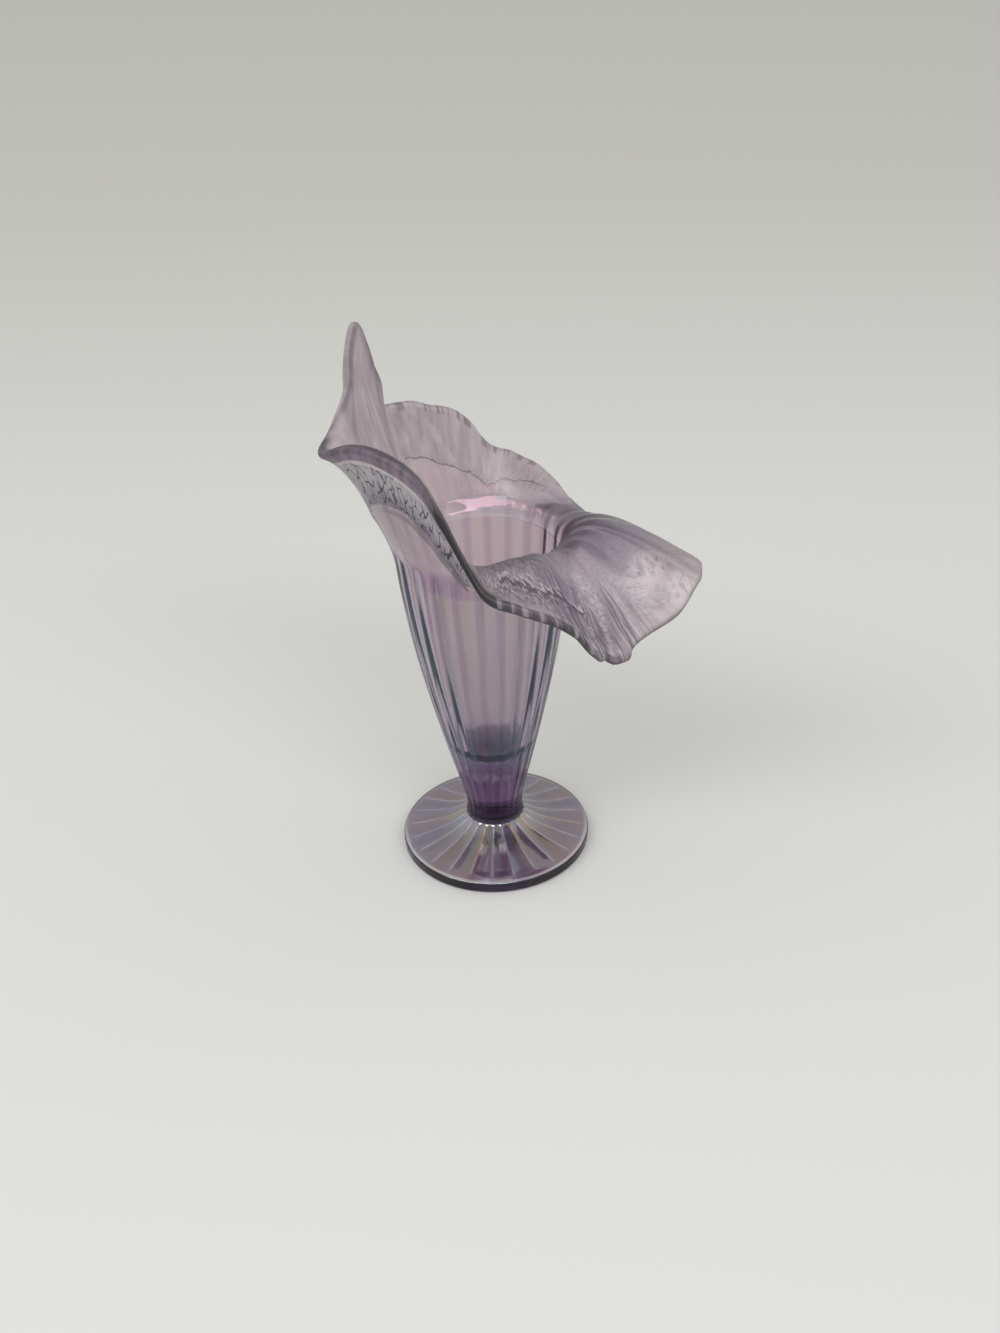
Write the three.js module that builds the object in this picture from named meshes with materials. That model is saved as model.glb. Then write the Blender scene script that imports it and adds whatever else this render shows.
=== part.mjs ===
// Jack-in-the-pulpit vase of ribbed, lustred glass: a round foot, a short solid stem, a hollow
// trumpet-shaped bowl, and a thin mouth worked hot into a pointed hood, two wings and a lip.
// Units are millimetres and +Z is up. The origin is the middle of the foot's flat underside,
// and +X points from the axis out along the lip.

import * as THREE from 'three';

// Foot: a disc with a low, fluted cone on top
const FOOT_RADIUS = 31.75;
const FOOT_EDGE_HEIGHT = 4;
const FOOT_EDGE_ROUND = 1;
const FOOT_CONE_HEIGHT = 7.5;
const FOOT_CONE_SLOPE_AT_EDGE = -0.3;
const FOOT_CONE_SLOPE_AT_STEM = -0.8;
const FOOT_PLAIN_BORDER = 1.6;
const FOOT_FLUTE_DEPTH = 0.9;

// Stem: solid glass, narrowest a little above the foot
const STEM_BASE_RADIUS = 10;
const STEM_BASE_SLOPE = -0.6;
const WAIST_RADIUS = 9.3;
const WAIST_RISE = 2;
const STEM_LENGTH = 20.5;
const STEM_TOP_RADIUS = 13;
const STEM_TOP_SLOPE = 0.25;

// Bowl: a hollow trumpet with a thick floor
const BOWL_LENGTH = 80;
const THROAT_RADIUS = 27.7;
const THROAT_SLOPE = 0.08;
const FLOOR_THICKNESS = 6;
const FLOOR_ROUND = 8;
const WALL_THICKNESS_AT_FLOOR = 4.3;
const WALL_THICKNESS = 3;

// Flutes: hollow channels with a sharp ridge between each two, shallower where the glass is narrow
const FLUTE_COUNT = 24;
const THROAT_FLUTE_DEPTH = 0.7;

// Mouth: the lip's reach beyond the throat's wall, the hood's height over the throat, and two
// shares of the way from the throat to the edge
const LIP_REACH = 40.7;
const HOOD_HEIGHT = 75;
const SEAT_END_ON_MOUTH = 0.15;
const FLUTE_END_ON_MOUTH = 0.6;

// The mouth's free edge, as it was pulled by hand, once round from the back of the hood.
// Angle from the lip in degrees; reach beyond the throat's wall in percent of LIP_REACH; height
// over the throat in percent of HOOD_HEIGHT; the wall's direction at the edge in degrees over
// the horizontal; and the lengths over which the wall keeps its direction, at the throat in
// percent of HOOD_HEIGHT and at the edge in percent of LIP_REACH.
const RIM = [
  [-174, 30, 90, 100, 33, 69],
  [-168, 30, 77, 95, 29, 59],
  [-161, 39, 65, 67, 34, 55],
  [-149, 50, 57, 22, 25, 24],
  [-134, 38, 65, 56, 21, 43],
  [-118, 28, 65, 68, 28, 49],
  [-102, 22, 57, 70, 23, 42],
  [-90, 23, 42, 55, 19, 32],
  [-79, 24, 22, 25, 20, 20],
  [-71, 24, 9, -15, 24, 17],
  [-57, 32, 4, -32, 31, 22],
  [-47, 45, 1, -38, 33, 29],
  [-39, 54, -6, -45, 36, 32],
  [-32, 64, -16, -54, 36, 34],
  [-26, 73, -16, -54, 35, 39],
  [-21, 77, -13, -46, 33, 44],
  [-11, 93, -6, -34, 32, 49],
  [0, 100, 0, -28, 31, 49],
  [11, 96, -3, -34, 27, 49],
  [22, 86, -10, -44, 22, 49],
  [34, 70, -16, -52, 16, 42],
  [44, 56, -15, -52, 13, 34],
  [54, 43, -10, -42, 11, 27],
  [65, 33, 0, -14, 9, 20],
  [77, 35, 9, -1, 4, 28],
  [92, 31, 19, 39, 3, 31],
  [104, 30, 23, 51, 2, 37],
  [112, 30, 35, 68, 2, 57],
  [121, 31, 42, 74, 2, 70],
  [130, 31, 45, 75, 2, 76],
  [138, 34, 48, 74, 2, 82],
  [146, 39, 49, 71, 3, 85],
  [154, 43, 50, 69, 5, 88],
  [163, 27, 67, 88, 28, 54],
  [169, 26, 79, 97, 32, 61],
  [173, 26, 89, 100, 35, 69],
  [180, 27, 100, 102, 37, 79],
];

// How finely the solids are faceted
const POINTS_PER_FLUTE = 4;
const FOOT_CONE_STEPS = 5;
const WAIST_STEPS = 2;
const STEM_STEPS = 4;
const BOWL_STEPS = 7;
const CAVITY_STEPS = 5;
const FLOOR_ROUND_STEPS = 3;
const MOUTH_STEPS = 9;
const RIM_ROUND_STEPS = 4;

// Heights of the seams between the pieces
const FOOT_TOP = FOOT_EDGE_HEIGHT + FOOT_CONE_HEIGHT;
const WAIST_HEIGHT = FOOT_TOP + WAIST_RISE;
const STEM_TOP = FOOT_TOP + STEM_LENGTH;
const THROAT_HEIGHT = STEM_TOP + BOWL_LENGTH;
const CAVITY_FLOOR = STEM_TOP + FLOOR_THICKNESS;

const SEGMENTS = FLUTE_COUNT * POINTS_PER_FLUTE;
const ANGLES = Array.from({ length: SEGMENTS }, (_, i) => (i / SEGMENTS) * 2 * Math.PI);

// Evenly spaced values from 0 to 1, both ends included
function steps(count) {
  return Array.from({ length: count + 1 }, (_, i) => i / count);
}

// A cubic from (x0, y0) to (x1, y1) that starts and ends with the given slopes
function cubic(x, x0, y0, slope0, x1, y1, slope1) {
  const span = x1 - x0;
  const t = (x - x0) / span;
  const ends = y0 * (2 * t ** 3 - 3 * t ** 2 + 1) + y1 * (3 * t ** 2 - 2 * t ** 3);
  return ends + span * (slope0 * (t ** 3 - 2 * t ** 2 + t) + slope1 * (t ** 3 - t ** 2));
}

// 0 on the ridge between two flutes, 1 along the middle of a flute
function fluteAt(angle) {
  const across = ((angle * FLUTE_COUNT) / (2 * Math.PI)) % 1;
  return 1 - (2 * across - 1) ** 2;
}

// Radius of a fluted round section whose ridges stand at ridgeRadius
function flutedRadius(ridgeRadius, angle) {
  return ridgeRadius - THROAT_FLUTE_DEPTH * (ridgeRadius / THROAT_RADIUS) * fluteAt(angle);
}

// One closed ring of points about the axis; place(angle, i) gives its radius and height
function ring(place) {
  return ANGLES.map((angle, i) => {
    const [radius, height] = place(angle, i);
    return new THREE.Vector3(radius * Math.cos(angle), radius * Math.sin(angle), height);
  });
}

function flutedRing(ridgeRadius, height) {
  return ring((angle) => [flutedRadius(ridgeRadius, angle), height]);
}

function plainRing(radius, height) {
  return ring(() => [radius, height]);
}

// A closed solid skinned over rings, each joined to the next. The first and last rings are closed
// on the axis at the two pole heights, or joined to each other where no poles are given.
function loft(rings, poles) {
  const points = rings.flat();
  const index = [];
  const bands = poles ? rings.length - 1 : rings.length;
  for (let band = 0; band < bands; band += 1) {
    const low = band * SEGMENTS;
    const high = ((band + 1) % rings.length) * SEGMENTS;
    for (let i = 0; i < SEGMENTS; i += 1) {
      const j = (i + 1) % SEGMENTS;
      index.push(low + i, low + j, high + j);
      index.push(low + i, high + j, high + i);
    }
  }
  if (poles) {
    const last = (rings.length - 1) * SEGMENTS;
    const [firstPole, lastPole] = poles.map((height) => points.push(new THREE.Vector3(0, 0, height)) - 1);
    for (let i = 0; i < SEGMENTS; i += 1) {
      const j = (i + 1) % SEGMENTS;
      index.push(firstPole, j, i);
      index.push(lastPole, last + i, last + j);
    }
  }
  const geometry = new THREE.BufferGeometry().setFromPoints(points);
  geometry.setIndex(index);
  geometry.computeVertexNormals();
  return geometry;
}

// Outer ridge radius of the stem and the bowl at a height
function ridgeRadius(height) {
  if (height <= WAIST_HEIGHT) {
    return cubic(height, FOOT_TOP, STEM_BASE_RADIUS, STEM_BASE_SLOPE, WAIST_HEIGHT, WAIST_RADIUS, 0);
  }
  if (height <= STEM_TOP) {
    return cubic(height, WAIST_HEIGHT, WAIST_RADIUS, 0, STEM_TOP, STEM_TOP_RADIUS, STEM_TOP_SLOPE);
  }
  return cubic(height, STEM_TOP, STEM_TOP_RADIUS, STEM_TOP_SLOPE, THROAT_HEIGHT, THROAT_RADIUS, THROAT_SLOPE);
}

function footGeometry() {
  const coneRadius = FOOT_RADIUS - FOOT_EDGE_ROUND;
  const flutedFrom = coneRadius - FOOT_PLAIN_BORDER;
  const coneHeight = (radius) =>
    cubic(
      radius, STEM_BASE_RADIUS, FOOT_TOP, FOOT_CONE_SLOPE_AT_STEM,
      coneRadius, FOOT_EDGE_HEIGHT, FOOT_CONE_SLOPE_AT_EDGE,
    );
  const rings = [
    plainRing(FOOT_RADIUS - FOOT_EDGE_ROUND, 0),
    plainRing(FOOT_RADIUS, FOOT_EDGE_ROUND),
    plainRing(FOOT_RADIUS, FOOT_EDGE_HEIGHT - FOOT_EDGE_ROUND),
    plainRing(coneRadius, FOOT_EDGE_HEIGHT),
    plainRing(flutedFrom, coneHeight(flutedFrom)),
  ];
  for (const t of steps(FOOT_CONE_STEPS).slice(1, -1)) {
    const radius = THREE.MathUtils.lerp(flutedFrom, STEM_BASE_RADIUS, t);
    const depth = FOOT_FLUTE_DEPTH * (radius / FOOT_RADIUS);
    rings.push(ring((angle) => [radius, coneHeight(radius) - depth * fluteAt(angle)]));
  }
  rings.push(flutedRing(STEM_BASE_RADIUS, FOOT_TOP));
  return loft(rings, [0, FOOT_TOP]);
}

function stemGeometry() {
  const waist = steps(WAIST_STEPS).map((t) => FOOT_TOP + t * WAIST_RISE);
  const upper = steps(STEM_STEPS).map((t) => THREE.MathUtils.lerp(WAIST_HEIGHT, STEM_TOP, t));
  const heights = [...waist, ...upper.slice(1)];
  return loft(heights.map((height) => flutedRing(ridgeRadius(height), height)), [FOOT_TOP, STEM_TOP]);
}

function bowlGeometry() {
  const outer = steps(BOWL_STEPS).map((t) => {
    const height = STEM_TOP + t * BOWL_LENGTH;
    return flutedRing(ridgeRadius(height), height);
  });
  // The wall thins evenly from the top of the rounded floor to the throat
  const floorEdge = CAVITY_FLOOR + FLOOR_ROUND;
  const innerRadius = (height) => {
    const t = (height - floorEdge) / (THROAT_HEIGHT - floorEdge);
    return ridgeRadius(height) - THREE.MathUtils.lerp(WALL_THICKNESS_AT_FLOOR, WALL_THICKNESS, t);
  };
  const inner = steps(CAVITY_STEPS).map((t) => {
    const height = THREE.MathUtils.lerp(THROAT_HEIGHT, floorEdge, t);
    return plainRing(innerRadius(height), height);
  });
  // The floor is the lower half of an ellipse turned about the axis
  const floorRadius = innerRadius(floorEdge);
  const floor = steps(FLOOR_ROUND_STEPS).slice(1, -1).map((t) => {
    const dip = (t * Math.PI) / 2;
    return plainRing(floorRadius * Math.cos(dip), floorEdge - FLOOR_ROUND * Math.sin(dip));
  });
  return loft([...outer, ...inner, ...floor], [STEM_TOP, CAVITY_FLOOR]);
}

// The rim's values at an angle: a smooth closed curve through the stations, whose slope at each
// one is that of the line through its two neighbours
function rimAt(degrees) {
  const station = (k) => {
    const turns = Math.floor(k / RIM.length);
    const [angle, ...values] = RIM[k - turns * RIM.length];
    return { angle: angle + 360 * turns, values };
  };
  let k = -1;
  while (station(k + 1).angle <= degrees) k += 1;
  const [before, from, to, after] = [k - 1, k, k + 1, k + 2].map(station);
  return from.values.map((value, i) => {
    const slopeFrom = (to.values[i] - before.values[i]) / (to.angle - before.angle);
    const slopeTo = (after.values[i] - value) / (after.angle - from.angle);
    return cubic(degrees, from.angle, value, slopeFrom, to.angle, to.values[i], slopeTo);
  });
}

// The mouth's outer wall in the upright half plane at an angle, from the throat to the edge
function wallCurve(angle) {
  const degrees = THREE.MathUtils.euclideanModulo(THREE.MathUtils.radToDeg(angle) + 180, 360) - 180;
  const [reach, height, lean, rise, run] = rimAt(degrees);
  const throat = new THREE.Vector2(THROAT_RADIUS, THROAT_HEIGHT);
  const toEdge = new THREE.Vector2(LIP_REACH * reach, HOOD_HEIGHT * height).divideScalar(100);
  const edge = throat.clone().add(toEdge);
  const start = new THREE.Vector2(THROAT_SLOPE, 1).normalize();
  const end = new THREE.Vector2(1, 0).rotateAround(new THREE.Vector2(), THREE.MathUtils.degToRad(lean));
  return new THREE.CubicBezierCurve(
    throat,
    throat.clone().addScaledVector(start, (HOOD_HEIGHT * rise) / 100),
    edge.clone().addScaledVector(end, -(LIP_REACH * run) / 100),
    edge,
  );
}

function mouthGeometry() {
  const curves = ANGLES.map(wallCurve);
  // Towards the flower's inside: level at the throat, where the mouth is seated on the bowl
  const inward = (curve, t) => {
    const along = curve.getTangent(t);
    const square = new THREE.Vector2(-along.y, along.x);
    const turned = THREE.MathUtils.smoothstep(t, 0, SEAT_END_ON_MOUTH);
    return new THREE.Vector2(-1, 0).lerp(square, turned).normalize();
  };
  const place = (curve, t, depth, beyond) => {
    const point = curve.getPoint(t).addScaledVector(inward(curve, t), depth);
    return point.addScaledVector(curve.getTangent(t), beyond).toArray();
  };
  const fluteDepth = (angle, t) =>
    THROAT_FLUTE_DEPTH * fluteAt(angle) * (1 - THREE.MathUtils.smoothstep(t, 0, FLUTE_END_ON_MOUTH));
  const outer = steps(MOUTH_STEPS).map((t) =>
    ring((angle, i) => place(curves[i], t, fluteDepth(angle, t), 0)));
  const edge = steps(RIM_ROUND_STEPS).slice(1, -1).map((t) => {
    const turn = t * Math.PI;
    const depth = (WALL_THICKNESS / 2) * (1 - Math.cos(turn));
    const beyond = (WALL_THICKNESS / 2) * Math.sin(turn);
    return ring((angle, i) => place(curves[i], 1, depth, beyond));
  });
  const inner = steps(MOUTH_STEPS).reverse().map((t) =>
    ring((angle, i) => place(curves[i], t, WALL_THICKNESS, 0)));
  return loft([...outer, ...edge, ...inner]);
}

function glassPiece(name, geometry, color, roughness) {
  const material = new THREE.MeshStandardMaterial({ color, roughness, metalness: 0 });
  const mesh = new THREE.Mesh(geometry, material);
  mesh.name = name;
  return mesh;
}

const vase = new THREE.Group();
vase.add(
  glassPiece('foot', footGeometry(), 0x7d7885, 0.2),
  glassPiece('stem', stemGeometry(), 0x54475f, 0.1),
  glassPiece('bowl', bowlGeometry(), 0x9e9496, 0.1),
  glassPiece('mouth', mouthGeometry(), 0xa69ca2, 0.3),
);

export default vase;
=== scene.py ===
"""Jack-in-the-pulpit vase of amethyst glass with a sprayed lustre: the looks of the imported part.

One skin of glass runs from the middle of the foot's underside, up the outside, over the mouth's
edge and down the inside to the middle of the bowl's floor. It is worked out as a grid of rows, each
row once round the axis, and cut at the seams into the foot, the stem, the bowl and the mouth.
Lengths are in millimetres until they go into a mesh. Angles are counted from the lip.
"""

import math

import bpy
import numpy as np
from mathutils import Matrix, Vector


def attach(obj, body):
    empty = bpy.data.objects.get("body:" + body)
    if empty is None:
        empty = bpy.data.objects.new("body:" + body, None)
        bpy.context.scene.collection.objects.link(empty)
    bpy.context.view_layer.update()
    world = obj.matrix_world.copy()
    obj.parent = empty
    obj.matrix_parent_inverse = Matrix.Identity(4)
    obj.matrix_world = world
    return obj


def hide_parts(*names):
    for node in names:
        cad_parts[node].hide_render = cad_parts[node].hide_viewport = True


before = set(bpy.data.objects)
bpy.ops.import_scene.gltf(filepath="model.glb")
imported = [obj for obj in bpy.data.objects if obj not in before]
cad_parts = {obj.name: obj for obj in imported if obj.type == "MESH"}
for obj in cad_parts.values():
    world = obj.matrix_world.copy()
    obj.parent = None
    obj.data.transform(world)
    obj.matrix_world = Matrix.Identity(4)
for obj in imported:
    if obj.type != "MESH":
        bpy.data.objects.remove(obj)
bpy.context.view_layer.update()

MM = 0.001

# Foot
FOOT_RADIUS = 31.75
FOOT_EDGE_HEIGHT = 4
FOOT_EDGE_ROUND = 1
FOOT_CONE_HEIGHT = 7.5
FOOT_CONE_SLOPE_AT_EDGE = -0.3
FOOT_CONE_SLOPE_AT_STEM = -0.8
FOOT_PLAIN_BORDER = 1.6
FOOT_FLUTE_DEPTH = 0.4

# Stem
STEM_BASE_RADIUS = 10
STEM_BASE_SLOPE = -0.6
WAIST_RADIUS = 9.3
WAIST_RISE = 2
STEM_LENGTH = 20.5
STEM_TOP_RADIUS = 13
STEM_TOP_SLOPE = 0.25

# Bowl
BOWL_LENGTH = 80
THROAT_RADIUS = 27.7
THROAT_SLOPE = 0.08
FLOOR_THICKNESS = 6
FLOOR_ROUND = 8
WALL_THICKNESS_AT_FLOOR = 4.3
WALL_THICKNESS = 3

# Flutes, with ridges rounded over a small share of half a flute
FLUTE_COUNT = 24
THROAT_FLUTE_DEPTH = 0.65
RIDGE_ROUND = 0.45
FOOT_RIDGE_ROUND = 0.1

# Mouth
LIP_REACH = 40.7
HOOD_HEIGHT = 75
SEAT_END_ON_MOUTH = 0.15
FLUTE_END_ON_MOUTH = 0.8
FLUTE_DEPTH_INSIDE = 0.9
EDGE_INSET = 0.15
EDGE_WAVE = 0.7
BEAD_WIDTH = 5
BEAD_SWELL = 0.9
COLLAR_SINK = 0.45
NEAR_SHOULDER = 2
FAR_SHOULDER = 0.5
FAR_BEVEL = 0.68
FAR_BEVEL_HEIGHT = 5
FAR_BEVEL_RUN_OUT = 9
NEAR_FLARE_START = 7
KNOB_LENGTH = 2.2

# The crease in the two wings: angle in degrees and distance from the free edge
CREASE = np.array([
    [-180, 52], [-160, 30], [-136, 23], [-112, 19], [-94, 20.5], [-75, 16], [0, 12],
    [68, 6], [77, 9.7], [96, 11.8], [110, 17.6], [120, 21], [150, 19.5], [165, 32], [180, 52],
])

# The mouth's free edge, once round from the back of the hood, as in the solid. Angle in degrees;
# reach beyond the throat's wall in percent of LIP_REACH; height over the throat in percent of
# HOOD_HEIGHT; the wall's direction at the edge in degrees over the horizontal; and the lengths
# over which the wall keeps its direction, at the throat in percent of HOOD_HEIGHT and at the
# edge in percent of LIP_REACH.
RIM = np.array([
    [-174, 30, 90, 100, 33, 69],
    [-168, 30, 77, 95, 29, 59],
    [-161, 39, 65, 67, 34, 55],
    [-149, 50, 57, 22, 25, 24],
    [-134, 38, 65, 56, 21, 43],
    [-118, 28, 65, 68, 28, 49],
    [-102, 22, 57, 70, 23, 42],
    [-90, 23, 42, 55, 19, 32],
    [-79, 24, 22, 25, 20, 20],
    [-71, 24, 9, -15, 24, 17],
    [-57, 32, 4, -32, 31, 22],
    [-47, 45, 1, -38, 33, 29],
    [-39, 54, -6, -45, 36, 32],
    [-32, 64, -16, -54, 36, 34],
    [-26, 73, -16, -54, 35, 39],
    [-21, 77, -13, -46, 33, 44],
    [-11, 93, -6, -34, 32, 49],
    [0, 100, 0, -28, 31, 49],
    [11, 96, -3, -34, 27, 49],
    [22, 86, -10, -44, 22, 49],
    [34, 70, -16, -52, 16, 42],
    [44, 56, -15, -52, 13, 34],
    [54, 43, -10, -42, 11, 27],
    [65, 33, 0, -14, 9, 20],
    [77, 35, 9, -1, 4, 28],
    [92, 31, 19, 39, 3, 31],
    [104, 30, 23, 51, 2, 37],
    [112, 30, 35, 68, 2, 57],
    [121, 31, 42, 74, 2, 70],
    [130, 31, 45, 75, 2, 76],
    [138, 34, 48, 74, 2, 82],
    [146, 39, 49, 71, 3, 85],
    [154, 43, 50, 69, 5, 88],
    [163, 27, 67, 88, 28, 54],
    [169, 26, 79, 97, 32, 61],
    [173, 26, 89, 100, 35, 69],
    [180, 27, 100, 102, 37, 79],
], float)

# Seam heights
FOOT_TOP = FOOT_EDGE_HEIGHT + FOOT_CONE_HEIGHT
WAIST_HEIGHT = FOOT_TOP + WAIST_RISE
STEM_TOP = FOOT_TOP + STEM_LENGTH
THROAT_HEIGHT = STEM_TOP + BOWL_LENGTH
CAVITY_FLOOR = STEM_TOP + FLOOR_THICKNESS

# The grid
POINTS_PER_FLUTE = 20
AROUND = FLUTE_COUNT * POINTS_PER_FLUTE
ANGLES = np.arange(AROUND) / AROUND * 2 * np.pi
DEGREES = (np.degrees(ANGLES) + 180) % 360 - 180
FOOT_CONE_ROWS = 40
STEM_ROWS = 28
BOWL_ROWS = 64
MOUTH_OUTSIDE_ROWS = 104
MOUTH_INSIDE_ROWS = 64
EDGE_ROWS = 12
CAVITY_ROWS = 44
FLOOR_ROWS = 14
SEAM_GAP = 0.02
UNDERSIDE_RADII = (2, 10, 18, 25, 29)
CENTRE_RADIUS = 0.4

# How far the lip is turned away from the photograph's right, towards its viewer
PHOTO_TURN = math.radians(19)

# Where patterns on the glass are spread out flat, a turn is as long as at this radius
PATTERN_RADIUS = 40

# Added to a distance from a line where the glass doesn't have that line
FAR_OFF = 100


def cubic(x, x0, y0, slope0, x1, y1, slope1):
    """A cubic from (x0, y0) to (x1, y1) that starts and ends with the given slopes."""
    span = x1 - x0
    t = (x - x0) / span
    ends = y0 * (2 * t**3 - 3 * t**2 + 1) + y1 * (3 * t**2 - 2 * t**3)
    return ends + span * (slope0 * (t**3 - 2 * t**2 + t) + slope1 * (t**3 - t**2))


def smooth(x, low, high):
    """0 up to low, 1 from high on, and an S-shaped cubic between them."""
    t = np.clip((x - low) / (high - low), 0, 1)
    return t * t * (3 - 2 * t)


def arc(middle, half, fade):
    """1 within half a width of an angle round the axis, and 0 beyond a fade, all in degrees."""
    away = np.abs((DEGREES - middle + 180) % 360 - 180)
    return 1 - smooth(away, half, half + fade)


def flutes(ridge_round):
    """0 on each ridge and 1 along the middle of each flute: a parabola with its ends rounded off."""
    across = (np.arange(AROUND) % POINTS_PER_FLUTE) / POINTS_PER_FLUTE
    from_ridge = 1 - np.abs(2 * across - 1)
    rounded = np.hypot(from_ridge, ridge_round) - ridge_round
    rounded /= rounded.max()
    return 1 - (1 - rounded) ** 2


FLUTES = flutes(RIDGE_ROUND)
FOOT_FLUTES = flutes(FOOT_RIDGE_ROUND)


def ridge_radius(height):
    """Outer radius of the stem and the bowl, on the ridges: three cubics end to end."""
    waist = cubic(height, FOOT_TOP, STEM_BASE_RADIUS, STEM_BASE_SLOPE, WAIST_HEIGHT, WAIST_RADIUS, 0)
    stem = cubic(height, WAIST_HEIGHT, WAIST_RADIUS, 0, STEM_TOP, STEM_TOP_RADIUS, STEM_TOP_SLOPE)
    bowl = cubic(
        height, STEM_TOP, STEM_TOP_RADIUS, STEM_TOP_SLOPE, THROAT_HEIGHT, THROAT_RADIUS, THROAT_SLOPE
    )
    return np.select([height <= WAIST_HEIGHT, height <= STEM_TOP], [waist, stem], bowl)


def stack(*sections):
    """Sections of rows, one after the other."""
    return tuple(np.concatenate(parts) for parts in zip(*sections))


def fluted_rows(heights):
    """Rows of the stem and the bowl: the ridge radius, less a depth that grows with the radius."""
    ridge = ridge_radius(heights)[:, None]
    radius = ridge - THROAT_FLUTE_DEPTH * (ridge / THROAT_RADIUS) * FLUTES
    return radius, np.broadcast_to(heights[:, None], radius.shape)


def plain_rows(radii, heights):
    """Rows that are plain circles."""
    return tuple(np.repeat(np.asarray(values, float)[:, None], AROUND, 1) for values in (radii, heights))


def foot_rows():
    """Underside, an edge of two quarter circles, and a cone with flutes that run out at its border."""
    cone_radius = FOOT_RADIUS - FOOT_EDGE_ROUND
    underside = plain_rows(UNDERSIDE_RADII, np.zeros(len(UNDERSIDE_RADII)))
    turn = np.radians(np.linspace(-90, 90, 2 * EDGE_ROWS))
    middle = np.where(turn < 0, FOOT_EDGE_ROUND, FOOT_EDGE_HEIGHT - FOOT_EDGE_ROUND)
    edge = plain_rows(
        cone_radius + FOOT_EDGE_ROUND * np.cos(turn), middle + FOOT_EDGE_ROUND * np.sin(turn)
    )
    radii = np.linspace(cone_radius, STEM_BASE_RADIUS, FOOT_CONE_ROWS + 1)[1:-1]
    cone_height = cubic(
        radii, STEM_BASE_RADIUS, FOOT_TOP, FOOT_CONE_SLOPE_AT_STEM,
        cone_radius, FOOT_EDGE_HEIGHT, FOOT_CONE_SLOPE_AT_EDGE,
    )
    border = cone_radius - FOOT_PLAIN_BORDER
    depth = FOOT_FLUTE_DEPTH * radii / FOOT_RADIUS * (1 - smooth(radii, 0.9 * border, border))
    cone_radii, cone_heights = plain_rows(radii, cone_height)
    cone = cone_radii, cone_heights - depth[:, None] * FOOT_FLUTES
    return stack(underside, edge, cone, fluted_rows(np.array([FOOT_TOP], float)))


def stem_rows():
    """Rows that lie closer together towards the foot, where the stem turns outwards."""
    share = np.linspace(0, 1, STEM_ROWS) ** 1.5
    return fluted_rows(FOOT_TOP + STEM_LENGTH * share)


def bowl_rows():
    """The bowl's outside, in even steps."""
    return fluted_rows(np.linspace(STEM_TOP, THROAT_HEIGHT, BOWL_ROWS))


def cavity_rows():
    """The bowl's inside: a wall that thins evenly to the throat, and half an ellipse for a floor."""
    floor_edge = CAVITY_FLOOR + FLOOR_ROUND
    heights = np.linspace(THROAT_HEIGHT, floor_edge, CAVITY_ROWS)
    share = (heights - floor_edge) / (THROAT_HEIGHT - floor_edge)
    wall = WALL_THICKNESS_AT_FLOOR + (WALL_THICKNESS - WALL_THICKNESS_AT_FLOOR) * share
    radii = ridge_radius(heights) - wall
    dip = np.linspace(0, math.acos(CENTRE_RADIUS / radii[-1]), FLOOR_ROWS)[1:]
    floor = plain_rows(radii[-1] * np.cos(dip), floor_edge - FLOOR_ROUND * np.sin(dip))
    return stack(plain_rows(radii, heights), floor)


def rim_at(degrees):
    """A smooth closed curve through the rim's stations, with each one's slope from its neighbours."""
    turns = np.array([360, 0, 0, 0, 0, 0])
    closed = np.vstack([RIM[-2:] - turns, RIM, RIM[:2] + turns])
    angle, values = closed[:, 0], closed[:, 1:]
    slopes = (values[2:] - values[:-2]) / (angle[2:] - angle[:-2])[:, None]
    k = np.searchsorted(angle, degrees, side="right") - 1
    column = degrees[:, None]
    return cubic(
        column, angle[k][:, None], values[k], slopes[k - 1],
        angle[k + 1][:, None], values[k + 1], slopes[k],
    ).T


def hand_worked(reach, height):
    """Small waves of the free edge, which only draw it in, and two knobs at the lip's near corner."""
    wave = sum(np.sin(n * ANGLES + phase) for n, phase in ((13, 0.4), (19, 2.1), (31, 4.4))) / 3
    lively = (1 + 0.8 * arc(0, 30, 10) + 0.8 * arc(-118, 26, 10)) * (1 - arc(180, 12, 8))
    drawn_in = EDGE_INSET + EDGE_WAVE * (0.5 + 0.5 * wave) * lively
    knobs = KNOB_LENGTH * (arc(-35, 1.2, 2.4) + 0.9 * arc(-28, 1.6, 2.6))
    out = knobs - drawn_in
    return reach + out * 0.8, height - np.where(height > 0, drawn_in * 0.6, knobs * 0.7)


def collar_width():
    """How far the crease lies from the free edge."""
    return np.interp(DEGREES, CREASE[:, 0], CREASE[:, 1])


def flare_start():
    """How far over the throat the wall starts to flare."""
    return NEAR_FLARE_START * arc(-115, 26, 14)


def to_edge(wall):
    """Length along each column of a wall from a row to the last one."""
    steps = np.linalg.norm(np.diff(wall, axis=0), axis=-1)
    return np.concatenate([np.cumsum(steps[::-1], 0)[::-1], np.zeros((1, AROUND))])


def shoulder(left):
    """How far the wings' wall stands out: evenly more from the throat up to the crease, and evenly less
    from there to the free edge, so that the wall is bent at the throat and at the crease. On the far
    side it also leans out from the throat in a narrow bevel. left is the length to the free edge."""
    risen = left[0] - left
    crease = np.minimum(collar_width(), 0.7 * left[0])
    flared = np.maximum(left[0] - crease - flare_start(), 3)
    out = np.maximum(NEAR_SHOULDER * arc(-115, 31, 12), FAR_SHOULDER * arc(134, 22, 16))
    flare = np.clip((risen - flare_start()) / flared, 0, 1)
    bevel = np.minimum(risen / FAR_BEVEL_HEIGHT, 1 - (risen - FAR_BEVEL_HEIGHT) / FAR_BEVEL_RUN_OUT)
    bevel = FAR_BEVEL * np.clip(bevel, 0, 1) * arc(100, 32, 14)
    return out * flare * np.clip(left / crease, 0, 1) + bevel


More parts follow.
